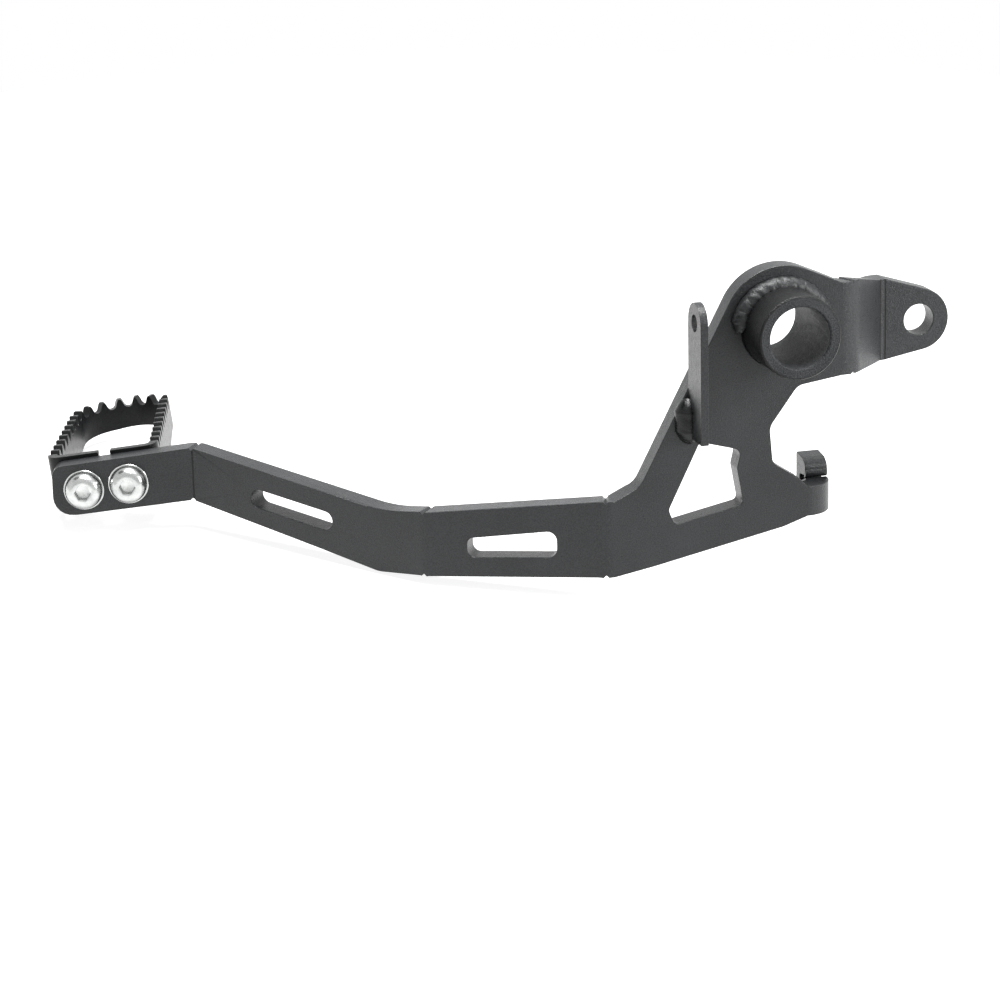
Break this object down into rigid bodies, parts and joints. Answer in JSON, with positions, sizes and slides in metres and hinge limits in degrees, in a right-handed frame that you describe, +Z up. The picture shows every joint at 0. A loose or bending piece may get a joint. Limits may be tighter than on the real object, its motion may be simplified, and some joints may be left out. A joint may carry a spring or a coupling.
{
  "type": "rear brake pedal",
  "caption": "Folded steel-plate rear brake pedal with a welded pivot tube, a joggled pushrod lug, a spring hook, a switch tab and a bolted toothed toe cleat.",
  "frame": {"origin": "on the pivot bore's axis, in the plane of the main plate's inboard face", "axes": "+Y along the pivot axis, outboard from the main plate; +Z up, parallel to the plate's fold lines; +X rearwards, from the pivot towards the pushrod lug"},
  "size_m": [0.2242, 0.1577, 0.0802],
  "materials": {
    "black_powder_coat": "satin powder coat",
    "bright_zinc": "bright zinc plate"
  },
  "bodies": {
    "root": {"lever_plate": "black_powder_coat", "pivot_tube": "black_powder_coat", "pivot_weld_inboard": "black_powder_coat", "pivot_weld_outboard": "black_powder_coat", "switch_tab": "black_powder_coat", "tab_weld": "black_powder_coat", "toe_cleat": "black_powder_coat", "cleat_screw_front": "bright_zinc", "cleat_screw_rear": "bright_zinc", "cleat_nut_front": "bright_zinc", "cleat_nut_rear": "bright_zinc"}
  },
  "joints": []
}
